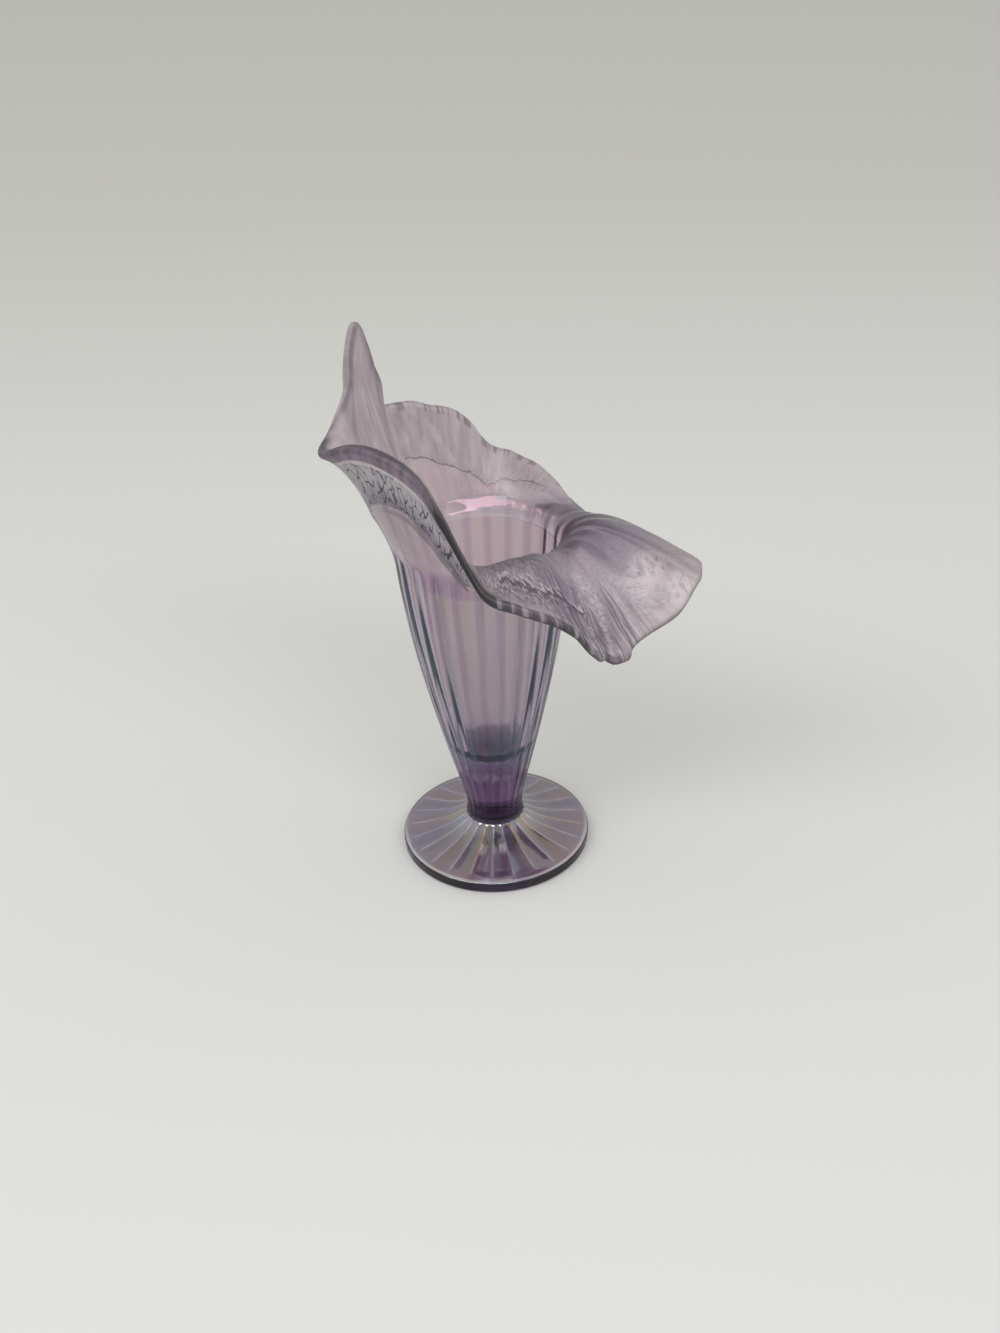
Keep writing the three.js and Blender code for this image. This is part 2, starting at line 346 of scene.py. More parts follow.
def mouth_wall(t):
    """Points, directions and inward normals of the mouth's outer wall at shares t of the way from the
    throat to the free edge: at each angle a cubic Bezier in the upright half plane."""
    reach, height, lean, rise, run = rim_at(DEGREES)
    reach, height = hand_worked(LIP_REACH * reach / 100, HOOD_HEIGHT * height / 100)
    run = LIP_REACH * run / 100
    rise = HOOD_HEIGHT * rise / 100
    lean = np.radians(lean)
    start = np.array([THROAT_SLOPE, 1]) / math.hypot(THROAT_SLOPE, 1)
    throat = np.broadcast_to([THROAT_RADIUS, THROAT_HEIGHT], (AROUND, 2))
    edge = throat + np.stack([reach, height], -1)
    up = throat + rise[:, None] * start
    back = edge - run[:, None] * np.stack([np.cos(lean), np.sin(lean)], -1)
    t = t[:, None, None]
    wall = (1 - t) ** 3 * throat + 3 * (1 - t) ** 2 * t * up + 3 * (1 - t) * t**2 * back + t**3 * edge
    along = (1 - t) ** 2 * (up - throat) + 2 * (1 - t) * t * (back - up) + t**2 * (edge - back)
    along /= np.linalg.norm(along, axis=-1, keepdims=True)
    square = np.stack([-along[..., 1], along[..., 0]], -1)
    turned = smooth(t, 0, SEAT_END_ON_MOUTH)
    inward = (1 - turned) * np.array([-1, 0]) + turned * square
    inward /= np.linalg.norm(inward, axis=-1, keepdims=True)
    return wall - shoulder(to_edge(wall))[..., None] * inward, along, inward


def mouth_rows():
    """The mouth: its outer wall with the flutes running out and a collar sunk below the beaded edge,
    the inner wall a thickness further in and thicker at the bead, and a half circle between them."""
    wing = np.maximum(arc(-112, 27, 10), 0.4 * arc(120, 40, 15))
    bead = 0.2 + 0.8 * np.maximum(arc(-90, 40, 25), 0.7 * arc(-45, 15, 15))

    share = 1 - (1 - np.linspace(0, 1, MOUTH_OUTSIDE_ROWS)) ** 1.35
    wall, along, inward = mouth_wall(share)
    left = to_edge(wall)
    fade = (1 - smooth(share, 0, FLUTE_END_ON_MOUTH))[:, None]
    drawn_flat = smooth(left[0] - left, NEAR_FLARE_START - 1, NEAR_FLARE_START + 3) * arc(-115, 26, 14)
    fade = fade * (1 - 0.8 * drawn_flat)
    sunk = COLLAR_SINK * wing * smooth(left, BEAD_WIDTH - 0.8, BEAD_WIDTH + 1.2)
    sunk = sunk * (1 - smooth(left, collar_width() - 0.7, collar_width() + 0.7))
    outer = wall + (THROAT_FLUTE_DEPTH * fade * FLUTES + sunk)[..., None] * inward
    edge, edge_along, edge_inward = outer[-1], along[-1], inward[-1]

    share = 1 - (1 - np.linspace(0, 1, MOUTH_INSIDE_ROWS)) ** 1.35
    wall, along, inward = mouth_wall(share)
    swell = BEAD_SWELL * bead * (1 - smooth(to_edge(wall), 0.3 * BEAD_WIDTH, 1.3 * BEAD_WIDTH))
    waves = FLUTE_DEPTH_INSIDE * smooth(share, 0, 0.2) * (1 - smooth(share, 0.3, FLUTE_END_ON_MOUTH))
    ripples = waves[:, None] * FLUTES * arc(32, 38, 15)
    inner = wall + (WALL_THICKNESS + swell + ripples)[..., None] * inward

    turn = np.linspace(0, np.pi, EDGE_ROWS)[1:-1, None, None]
    half = (WALL_THICKNESS + swell[-1])[:, None] / 2
    rounded = half * (1 - np.cos(turn)) * edge_inward + WALL_THICKNESS / 2 * np.sin(turn) * edge_along
    rows = np.concatenate([outer, edge + rounded, inner[::-1]])
    return rows[..., 0], rows[..., 1]


def skin():
    """Points and outward normals of all rows, and the numbers of the rows at the seams. A normal is
    square to the lines to the neighbours round the axis and along the rows."""
    sections = [foot_rows(), stem_rows(), bowl_rows(), mouth_rows(), cavity_rows()]
    later = [tuple(values[1:] for values in section) for section in sections[1:]]
    radius, height = stack(sections[0], *later)
    points = np.stack([radius * np.cos(ANGLES), radius * np.sin(ANGLES), height], -1)
    round_axis = np.roll(points, -1, 1) - np.roll(points, 1, 1)
    normals = np.cross(round_axis, np.gradient(points, axis=0))
    normals /= np.linalg.norm(normals, axis=-1, keepdims=True)
    seams = np.cumsum([len(section[0]) - 1 for section in sections])
    return points, normals, seams


POINTS, NORMALS, SEAMS = skin()
FOOT_SEAM, STEM_SEAM, THROAT_SEAM, CAVITY_SEAM, LAST_ROW = (int(row) for row in SEAMS)
EDGE_ROW = THROAT_SEAM + MOUTH_OUTSIDE_ROWS + EDGE_ROWS // 2 - 2

# Where each point of the skin lies: its row, its radius, the length along the rows up to it, and
# its distances from the free edge, from the throat's seam and, beyond it, from the crease
ROW = np.arange(len(POINTS))[:, None]
ON_MOUTH = (ROW >= THROAT_SEAM) & (ROW <= CAVITY_SEAM)
INSIDE = ROW > EDGE_ROW
OUTSIDE = ~INSIDE
ON_FOOT_TOP = (ROW <= FOOT_SEAM) & (POINTS[..., 2] > FOOT_EDGE_HEIGHT - 0.3)
RADIUS = np.hypot(POINTS[..., 0], POINTS[..., 1])
STEPS = np.linalg.norm(np.diff(POINTS, axis=0), axis=-1)
LENGTH = np.concatenate([np.zeros((1, AROUND)), np.cumsum(STEPS, 0)])
FROM_EDGE = np.abs(LENGTH - LENGTH[EDGE_ROW])
FROM_THROAT = np.abs(LENGTH - LENGTH[np.where(INSIDE, CAVITY_SEAM, THROAT_SEAM)[:, 0]])
PAST_CREASE = FROM_EDGE - collar_width()

# Stretches of the mouth
NEAR_WING = arc(-112, 27, 10)
NEAR_BEAD = arc(-108, 34, 14)
FAR_WING = arc(112, 38, 8)
NEAR_LIP = arc(-50, 18, 12)
LIP = arc(10, 75, 20)


def rolled_out():
    """The skin spread out for patterns: a place round the axis at PATTERN_RADIUS, and the length along
    the rows, so that a pattern follows the glass with no seam."""
    turn = PATTERN_RADIUS * np.stack([np.cos(ANGLES), np.sin(ANGLES)], -1)
    return np.concatenate([np.broadcast_to(turn, LENGTH.shape + (2,)), LENGTH[..., None]], -1)


def worked_glass():
    """How far the lustre is torn into a crackle, on the near wing's collar; how far it is broken into
    grains, on the lip and at the near crease; and how satin the glass is where it was drawn."""
    collar = smooth(FROM_EDGE, BEAD_WIDTH, BEAD_WIDTH + 1.5) * (1 - smooth(PAST_CREASE, -1, 0))
    torn = OUTSIDE * collar * NEAR_WING
    at_crease = smooth(PAST_CREASE, -9, -3) * (1 - smooth(PAST_CREASE, -0.5, 0.5))
    near_sand = NEAR_LIP * (1 - smooth(FROM_EDGE, 24, 34))
    sand = np.maximum(near_sand, 0.4 * LIP * (1 - smooth(FROM_EDGE, 30, 44)))
    grains = INSIDE * sand * smooth(FROM_EDGE, 4, 7) + 0.8 * OUTSIDE * NEAR_WING * at_crease

    on_lip = np.maximum.reduce([
        smooth(FROM_THROAT, 10, 40),
        0.8 * NEAR_LIP * smooth(FROM_THROAT, 3, 9),
        0.6 * arc(60, 24, 12) * smooth(FROM_THROAT, 4, 10),
    ])
    on_wings = np.maximum(0.7 * smooth(FROM_THROAT, 6, 9) * FAR_WING, 1 - smooth(PAST_CREASE, -3, 0))
    outer = smooth(FROM_THROAT - flare_start(), 0, 4) * (1 - 0.45 * smooth(PAST_CREASE, -0.5, 0.5))
    satin = np.where(INSIDE, LIP * on_lip + (1 - LIP) * on_wings, outer)
    return np.stack([torn, grains, satin], -1) * ON_MOUTH[..., None]


def edge_shade_and_glints():
    """Painted shade along the free edge, where thick glass seen edge on looks dark, most of all
    where it bends from the near wing to the lip; where the edge is lumpy; and thin pale lines of
    painted highlight, below the near bead and on the foot's ridges and border."""
    line = (1 - smooth(FROM_EDGE, 0.8, 2.6)) * np.where(INSIDE, 0.5 + 0.35 * NEAR_BEAD, 0.3)
    line = np.minimum(line * (0.3 + 0.7 * arc(-45, 95, 25) + 0.7 * arc(-58, 26, 8)), 1)
    bend = np.where(INSIDE, 0.85 * (1 - smooth(FROM_EDGE, 3.5, 5.5)), 1 - smooth(FROM_EDGE, 6.5, 9))
    hood = np.maximum(
        0.5 * (1 - smooth(FROM_EDGE, 1.5, 6)) * arc(167, 5, 6),
        0.45 * (1 - smooth(FROM_EDGE, 0.8, 3)) * arc(180, 30, 8),
    )
    # Painted shade: the free edge is darkened where thick glass seen edge on looks dark, along the rim, at
    # the bend and at the hood
    rim_shade = np.maximum.reduce([
        line,
        bend * arc(-79, 11, 9),
        hood * INSIDE,
        0.8 * (1 - smooth(FROM_EDGE, 2, 5)) * arc(-150, 3, 4),
        0.65 * (1 - smooth(FROM_EDGE, 3.6, 4.4)) * INSIDE * arc(-55, 20, 8),
        0.9 * (1 - smooth(FROM_EDGE, 1.2, 2.2)) * OUTSIDE * arc(-60, 30, 8),
    ])
    lumpy = (1 - smooth(FROM_EDGE, 3.2, 4.2)) * INSIDE * np.maximum(0.8 * FAR_WING, arc(-48, 16, 8))

    # Painted highlights: a pale line below the near bead, and pale lines on the foot's ridges, brightest
    # by the stem, and along its front border
    below_bead = (1 - smooth(np.abs(FROM_EDGE - BEAD_WIDTH - 0.9), 0.3, 0.9)) * OUTSIDE * NEAR_WING
    crest = (1 - smooth(FOOT_FLUTES, 0.01, 0.16)) * (0.35 + 0.5 * (1 - smooth(RADIUS, 11.5, 14)))
    crest = crest * (1 - smooth(RADIUS, 28, 30)) * (RADIUS > STEM_BASE_RADIUS + 0.6)
    border = 0.6 * (1 - smooth(np.abs(RADIUS - FOOT_RADIUS + 0.9), 0.2, 0.6)) * arc(-71, 70, 40)
    pale = below_bead * ON_MOUTH + np.maximum(crest, border) * ON_FOOT_TOP
    return np.stack([rim_shade * ON_MOUTH, lumpy * ON_MOUTH, pale], -1)


def lip_marks():
    """Painted shade along the flutes' ridges, fanning out over the lip; the distance from the line
    where the near lip's lustre ran together; and pale places of painted highlight on the lip."""
    ridges = 1 - smooth(FLUTES, 0.05, 0.6)
    spread = 0.35 + 0.15 * smooth(FROM_THROAT, 8, 30)
    fan = 0.6 * (1 - smooth(FLUTES / spread, 0.1, 1)) * arc(22, 36, 10)
    fan = fan * smooth(FROM_THROAT, 2, 6) * (1 - smooth(FROM_THROAT, 22, 46))
    shade = np.select(
        [ON_MOUTH & INSIDE, ON_MOUTH, OUTSIDE & (ROW > FOOT_SEAM)],
        [fan, 0.25 * ridges * (1 - smooth(FROM_THROAT, 2, 10)), ridges],
        0,
    )
    ran_together = np.interp(DEGREES, [-66, -59, -46, -36, -28], [10, 11.4, 12.1, 16, 20])
    ragged = FROM_EDGE - ran_together
    ragged = ragged + FAR_OFF * np.sign(ragged - 1) * (1 - INSIDE * arc(-48, 15, 6))
    # Painted highlights: pale patches at the lip's tip and further in, where its slopes catch the light
    at_tip = 1 - smooth(np.hypot((DEGREES + 6) * 1.1, FROM_EDGE - 5.2), 2, 9)
    further_in = 0.8 * (1 - smooth(np.hypot((DEGREES + 8) * 0.9, FROM_EDGE - 16.5), 2, 9))
    painted_lip_highlight = np.maximum(at_tip, further_in) * INSIDE
    return np.stack([shade, ragged, painted_lip_highlight], -1)


def drawn_glass():
    """Where the lip's near corner was drawn into fine streaks; where the glass is mauve, on the near
    bead and at the throat's far side; and where a cool darker tone lies: painted shade at the
    near crease, and a tone over the lip."""
    hair = arc(-32, 9, 9) * INSIDE * (1 - smooth(FROM_EDGE, 16, 28))
    bead = 0.85 * (1 - smooth(FROM_EDGE, 4.6, 5.4)) * OUTSIDE * NEAR_BEAD
    far_side = (ROW >= CAVITY_SEAM) * (1 - smooth(FROM_THROAT, 15, 45)) * arc(110, 70, 30)
    at_crease = smooth(PAST_CREASE, -7, -1) * (1 - smooth(PAST_CREASE, -0.3, 0.3))
    on_lip = 0.95 * (0.5 + 0.3 * arc(25, 30, 20)) * arc(2, 60, 15)
    on_lip = on_lip * smooth(FROM_THROAT, 4, 12) * (1 - smooth(FROM_THROAT, 30, 54))
    # Painted shade in the near wing's crease, and a cool darker tone over the lip's middle
    crease_shade_and_cool_tone = np.maximum(at_crease * OUTSIDE * NEAR_WING, on_lip * INSIDE)
    return np.stack([hair * ON_MOUTH, bead * ON_MOUTH + far_side, crease_shade_and_cool_tone * ON_MOUTH], -1)


def crease_distance():
    """The distance beyond the crease in the wings."""
    wings = np.where(INSIDE, FAR_WING, NEAR_WING) * ON_MOUTH
    return (PAST_CREASE + FAR_OFF * np.sign(PAST_CREASE) * (1 - wings))[..., None]


def film_thickness():
    """The lustre's thickness in nanometres: on the foot's top, on the bowl's outside and on the mouth up
    to where it flares, and on the mouth's inside up to the crease, or on the lip only at the throat."""
    below_flare = FROM_THROAT < flare_start() + 1
    below_crease = (PAST_CREASE > 0) & (FROM_THROAT < np.where(LIP > 0.3, 6, 60))
    film = np.select(
        [ON_FOOT_TOP, ON_MOUTH & INSIDE, ON_MOUTH, OUTSIDE & (ROW > STEM_SEAM)],
        [64, 310 * below_crease, 217 * below_flare, 228],
        0,
    )
    return film[..., None]


MAPS = {
    "flow": rolled_out(),
    "worked": worked_glass(),
    "edge": edge_shade_and_glints(),
    "lip": lip_marks(),
    "drawn": drawn_glass(),
    "crease": crease_distance(),
    "film": film_thickness(),
}


def glass_piece(name, blocks, ends, material):
    """A closed mesh. blocks of rows, each from a first to a last row, are bands of four-sided faces;
    ends close them, each from one ring of points to another or, with no other, to the axis. An end
    faces up or down, as 1 or -1, and where it is fused, the glass goes on in the next piece."""
    rows = np.concatenate([np.arange(first, last + 1) for first, last in blocks])
    ring = {row: np.arange(AROUND) + i * AROUND for i, row in enumerate(rows.tolist())}
    points, normals = (grid[rows].reshape(-1, 3) for grid in (POINTS, NORMALS))
    maps = {key: grid[rows].reshape(-1, grid.shape[-1]) for key, grid in MAPS.items()}
    skin_faces, fused_faces, fused_up = [], [], []
    for first, last in blocks:
        low = np.arange(AROUND) + np.arange(last - first)[:, None] * AROUND + ring[first][0]
        high = low + AROUND
        quads = np.stack([low, np.roll(low, -1, 1), np.roll(high, -1, 1), high], -1)
        skin_faces += quads.reshape(-1, 4).tolist()
    for row, other, up, fused in ends:
        near = ring[row]
        if other is None:
            pole = len(points)
            points = np.vstack([points, points[near].mean(0) * (0, 0, 1)])
            normals = np.vstack([normals, (0, 0, up)])
            maps = {key: np.vstack([grid, grid[near].mean(0)]) for key, grid in maps.items()}
            rim = near[::up]
            faces = np.stack([np.full(AROUND, pole), rim, np.roll(rim, -1)], -1)
        else:
            low, high = (near, ring[other])[::up]
            faces = np.stack([low, np.roll(low, -1), np.roll(high, -1), high], -1)
        if fused:
            points[np.unique(faces), 2] -= up * SEAM_GAP / 2
            fused_up += [(0, 0, up)] * faces.size
        (fused_faces if fused else skin_faces).extend(faces.tolist())

    mesh = bpy.data.meshes.new(name)
    mesh.from_pydata((points * MM).tolist(), [], skin_faces + fused_faces)
    mesh.polygons.foreach_set("use_smooth", np.ones(len(mesh.polygons), bool))
    corners = np.empty(len(mesh.loops), np.int32)
    mesh.loops.foreach_get("vertex_index", corners)
    corner_normals = normals[corners]
    corner_normals[len(corners) - len(fused_up):] = fused_up
    mesh.normals_split_custom_set(corner_normals.tolist())
    for key, values in maps.items():
        kind, field = ("FLOAT_VECTOR", "vector") if values.shape[1] == 3 else ("FLOAT", "value")
        attribute = mesh.attributes.new(key, kind, "POINT")
        attribute.data.foreach_set(field, values.astype(np.float32).ravel())
    joined = np.repeat([0.0, 1.0], [len(skin_faces), len(fused_faces)])
    mesh.attributes.new("fused", "FLOAT", "FACE").data.foreach_set("value", joined)
    mesh.materials.append(material)
    piece = bpy.data.objects.new(name, mesh)
    bpy.context.scene.collection.objects.link(piece)
    return piece


def linear(hex_colour):
    """An sRGB hex colour as linear red, green, blue and an alpha of 1."""
    parts = [int(hex_colour[i:i + 2], 16) / 255 for i in (1, 3, 5)]
    return (*(c / 12.92 if c <= 0.04045 else ((c + 0.055) / 1.055) ** 2.4 for c in parts), 1)


def add(tree, kind, inputs=None, out=0, **settings):
    """Adds a node with its settings, sets each input to a value or links it from a socket, and gives
    the wanted output."""
    made = tree.nodes.new(kind)
    for name, value in settings.items():
        setattr(made, name, value)
    for name, value in (inputs or {}).items():
        if isinstance(value, bpy.types.NodeSocket):
            tree.links.new(value, made.inputs[name])
        else:
            made.inputs[name].default_value = value
    return None if out is None else made.outputs[out]


def new_glass(name):
    """A material with an empty node tree, and the skin spread out for its patterns."""
    material = bpy.data.materials.new(name)
    material.use_nodes = True
    tree = material.node_tree
    tree.nodes.clear()
    return material, tree, add(tree, "ShaderNodeAttribute", attribute_name="flow", out="Vector")


def finish_glass(tree, colour, roughness, film, film_bend, height, clear=1.0):
    """Soda-lime glass coloured through with manganese, so that its purple deepens with the way light
    goes through it, under a sprayed metal lustre: a film that tints what comes through, and mirrors
    pink, yellow and green by its thickness in nanometres and its refractive index. On a fused face
    there is nothing to see: no film, no bend and no tint. height is the pattern's, in millimetres."""
    fused = add(tree, "ShaderNodeAttribute", attribute_name="fused", out="Fac")
    bare = add(tree, "ShaderNodeMath", {0: 1.0, 1: fused}, operation="SUBTRACT")
    white = (1, 1, 1, 1)
    tint = add(tree, "ShaderNodeMix", {0: fused, 6: colour, 7: white}, data_type="RGBA", out=2)
    rough = add(tree, "ShaderNodeMath", {0: bare, 1: roughness}, operation="MULTIPLY")
    laid = add(tree, "ShaderNodeMath", {0: bare, 1: film}, operation="MULTIPLY")
    bend = add(tree, "ShaderNodeMath", {0: bare, 1: 0.5, 2: 1.0}, operation="MULTIPLY_ADD")
    raised = add(tree, "ShaderNodeMath", {0: bare, 1: height}, operation="MULTIPLY")
    normal = add(tree, "ShaderNodeBump", {"Height": raised, "Distance": MM})
    surface = add(tree, "ShaderNodeBsdfPrincipled", {
        "Base Color": tint, "Transmission Weight": clear, "Roughness": rough, "IOR": bend,
        "Thin Film Thickness": laid, "Thin Film IOR": film_bend, "Normal": normal,
    })
    inside = add(tree, "ShaderNodeVolumeAbsorption", {"Color": linear("#9064A6"), "Density": 88.0})
    add(tree, "ShaderNodeOutputMaterial", {"Surface": surface, "Volume": inside}, out=None)


def map_parts(tree, name):
    """The three numbers that one of the MAPS holds at each point."""
    held = add(tree, "ShaderNodeAttribute", attribute_name=name, out="Vector")
    return add(tree, "ShaderNodeSeparateXYZ", {0: held}).node.outputs


def clouds(tree, flow, across, along, detail, low=0.0, high=1.0):
    """A cloudy pattern with patches of a size in millimetres across and along the rows, as a share
    that is 0 below a low level of the noise and 1 above a high one."""
    place = add(tree, "ShaderNodeMapping", {
        "Vector": flow, "Scale": (1 / across, 1 / across, 1 / along),
    })
    level = add(tree, "ShaderNodeTexNoise", {"Vector": place, "Scale": 1.0, "Detail": float(detail)})
    return add(tree, "ShaderNodeMapRange", {"Value": level, "From Min": low, "From Max": high})


def coats(tree, colour, laid_over):
    """A colour with others laid over it in turn, each with where it lies, how densely and its tint."""
    for where, density, tint in laid_over:
        share = add(tree, "ShaderNodeMath", {0: where, 1: density}, operation="MULTIPLY")
        tint = linear(tint) if isinstance(tint, str) else tint
        colour = add(tree, "ShaderNodeMix", {0: share, 6: colour, 7: tint}, data_type="RGBA", out=2)
    return colour


def sprayed_lustre(tree, flow, spread, deep, pale):
    """The lustre as it was sprayed, in clouds of a thickness that is a spread more or less, and with a
    tint in faint streaks along the flutes. Gives the tint, the film's thickness and the height."""
    laid = add(tree, "ShaderNodeAttribute", attribute_name="film", out="Fac")
    more = add(tree, "ShaderNodeMath", {
        0: clouds(tree, flow, 6, 50, 1, 0.3, 0.7), 1: 2 * spread, 2: 1 - spread,
    }, operation="MULTIPLY_ADD")
    film = add(tree, "ShaderNodeMath", {0: laid, 1: more}, operation="MULTIPLY")
    streak = clouds(tree, flow, 2.5, 30, 2, 0.3, 0.7)
    height = add(tree, "ShaderNodeMath", {0: streak, 1: 0.004}, operation="MULTIPLY")
    return coats(tree, linear(deep), [(streak, 1, pale)]), film, height


def pressed_amethyst(name, deep, pale, painted_ridge_tone):
    """Glass as it leaves the mould, fire-polished and sprayed: clear and glossy, with soft ridges."""
    material, tree, flow = new_glass(name)
    tint, film, height = sprayed_lustre(tree, flow, 0.2, deep, pale)
    ridge = map_parts(tree, "lip")[0]
    mauve = map_parts(tree, "drawn")[1]
    # The ridges' tone is painted: a darker one is painted shade along the bowl's ridges, a pale one
    # painted highlights along the stem's
    colour = coats(tree, tint, [(ridge, 0.5, painted_ridge_tone), (mauve, 1, "#D3B6BF")])
    finish_glass(tree, colour, 0.1, film, 1.62, height)
    return material


def silvered_amethyst(name):
    """The foot's glass, where the spray was heaviest: a soft purple and silver mirror on its top."""
    material, tree, flow = new_glass(name)
    tint, film, height = sprayed_lustre(tree, flow, 0.3, "#E4CBE8", "#F1DFF3")
    # Painted highlights on the foot's ridges and border, which are paler and less clear there
    pale = map_parts(tree, "edge")[2]
    colour = coats(tree, tint, [(pale, 1, "#F4E9ED")])
    clear = add(tree, "ShaderNodeMath", {0: pale, 1: -0.6, 2: 1.0}, operation="MULTIPLY_ADD")
    finish_glass(tree, colour, 0.08, film, 2.2, height, clear)
    return material


def crackle(tree, flow):
    """Crooked gaps between cells that are longer along the rows, in patches: 1 in a gap."""
    wander = add(tree, "ShaderNodeTexNoise", {
        "Vector": flow, "Scale": 1 / 2.5, "Detail": 2.0,
    }, out="Color")
    bent = add(tree, "ShaderNodeVectorMath", {
        0: wander, 1: (1.3, 1.3, 1.3), 2: flow,
    }, operation="MULTIPLY_ADD")
    cells = add(tree, "ShaderNodeMapping", {"Vector": bent, "Scale": (1 / 1.9, 1 / 1.9, 1 / 6)})
    away = add(tree, "ShaderNodeTexVoronoi", {"Vector": cells, "Scale": 1.0}, feature="DISTANCE_TO_EDGE")
    gap = add(tree, "ShaderNodeMapRange", {"Value": away, "From Min": 0.09, "From Max": 0.03})
    here = clouds(tree, flow, 4, 4, 1, 0.4, 0.52)
    return add(tree, "ShaderNodeMath", {0: gap, 1: here}, operation="MULTIPLY")


def stretched_amethyst(name):
    """The mouth's glass, heated again and drawn out after it was sprayed: satin, with streaks along
    the way it was drawn, and the lustre torn into a crackle and grains where it was drawn most."""
    material, tree, flow = new_glass(name)
    tint, film, sprayed = sprayed_lustre(tree, flow, 0.03, "#DFCDD6", "#ECDFE5")
    torn, grains, satin = map_parts(tree, "worked")
    rim_shade, lumpy, pale = map_parts(tree, "edge")
    shade, ragged, painted_lip_highlight = map_parts(tree, "lip")
    hair, mauve, crease_shade_and_cool_tone = map_parts(tree, "drawn")

    streak = clouds(tree, flow, 1.6, 12, 3, 0.3, 0.7)
    soft = clouds(tree, flow, 3.5, 8, 2, 0.48, 0.66)
    veil = coats(tree, linear("#C3B5BB"), [(streak, 1, "#E0D5D8"), (soft, 0.7, "#EEE6E5")])
    strand = clouds(tree, flow, 0.6, 14, 2, 0.42, 0.6)
    gaps = add(tree, "ShaderNodeMath", {0: crackle(tree, flow), 1: torn}, operation="MULTIPLY")

    # Coarser than real grains, which would not show
    fine = clouds(tree, flow, 0.7, 0.8, 2, 0.44, 0.6)
    grain = add(tree, "ShaderNodeMath", {0: fine, 1: grains}, operation="MULTIPLY")
    patchy = clouds(tree, flow, 1.6, 2.5, 2, 0.38, 0.54)

    # Three torn lines side by side, and a fine dark one of painted shade in the crease
    wavy = add(tree, "ShaderNodeMath", {
        0: clouds(tree, flow, 1.6, 1.8, 5), 1: 8.0, 2: ragged,
    }, operation="MULTIPLY_ADD")
    first_line = add(tree, "ShaderNodeMath", {0: wavy, 1: 1.2, 2: 0.35}, operation="COMPARE")
    broad_line = add(tree, "ShaderNodeMath", {0: wavy, 1: 3.6, 2: 0.75}, operation="COMPARE")
    pale_line = add(tree, "ShaderNodeMath", {0: wavy, 1: 5.4, 2: 0.4}, operation="COMPARE")
    from_crease = add(tree, "ShaderNodeAttribute", attribute_name="crease", out="Fac")
    wrinkled = add(tree, "ShaderNodeMath", {
        0: clouds(tree, flow, 2, 2, 2), 1: 2.4, 2: from_crease,
    }, operation="MULTIPLY_ADD")
    crease = add(tree, "ShaderNodeMath", {0: wrinkled, 1: 1.2, 2: 0.3}, operation="COMPARE")

    # Lumps along the edge, all across it
    lump = clouds(tree, flow, 2, math.inf, 1)
    dark = add(tree, "ShaderNodeMapRange", {
        "Value": lump, "From Min": 0.52, "From Max": 0.57, "To Max": 0.7,
    })
    light = add(tree, "ShaderNodeMapRange", {
        "Value": lump, "From Min": 0.46, "From Max": 0.41, "To Max": 0.6,
    })
    swollen = add(tree, "ShaderNodeMapRange", {"Value": lump, "From Min": 0.36, "From Max": 0.62})
    bead = coats(tree, linear("#4E3B53"), [(swollen, 1, "#8E7A93")])

    colour = coats(tree, tint, [
        (satin, 1, veil),
        (hair, strand, "#786C7C"),
        (mauve, 1, bead),
        (torn, 0.65, "#CBCED6"),
        # Painted shade at the near crease, and a cool tone on the lip
        (crease_shade_and_cool_tone, 0.6, "#7F799A"),
        (shade, 1, "#3A2C46"),
        (grain, 0.8, "#736C7C"),
        (broad_line, 0.8, "#33283B"),
        (first_line, 0.6, "#33283B"),
        (pale_line, 0.7, "#F6F0F3"),
        # Painted highlight on the lip
        (painted_lip_highlight, patchy, "#FBF1F3"),
        (gaps, 1, "#1F2829"),
        # Painted shade: a fine dark line in the crease
        (crease, 0.7, "#6A5059"),
        # Painted shade along the free edge
        (rim_shade, 1, "#170F1F"),
        (lumpy, dark, "#4A3D50"),
        (lumpy, light, "#D9D0D6"),
        # Painted highlight below the near bead
        (pale, 0.7, "#FBF4F6"),
    ])

    roughness = add(tree, "ShaderNodeMath", {0: satin, 1: 0.32, 2: 0.05}, operation="MULTIPLY_ADD")
    clear = add(tree, "ShaderNodeMath", {0: satin, 1: -0.4, 2: 1.0}, operation="MULTIPLY_ADD")
    drawn = add(tree, "ShaderNodeMath", {0: streak, 1: 0.02}, operation="MULTIPLY")
    height = add(tree, "ShaderNodeMix", {0: satin, 2: sprayed, 3: drawn})
    height = add(tree, "ShaderNodeMath", {0: gaps, 1: -0.15, 2: height}, operation="MULTIPLY_ADD")
    height = add(tree, "ShaderNodeMath", {0: grain, 1: -0.08, 2: height}, operation="MULTIPLY_ADD")
    finish_glass(tree, colour, roughness, film, 1.62, height, clear)
    return material


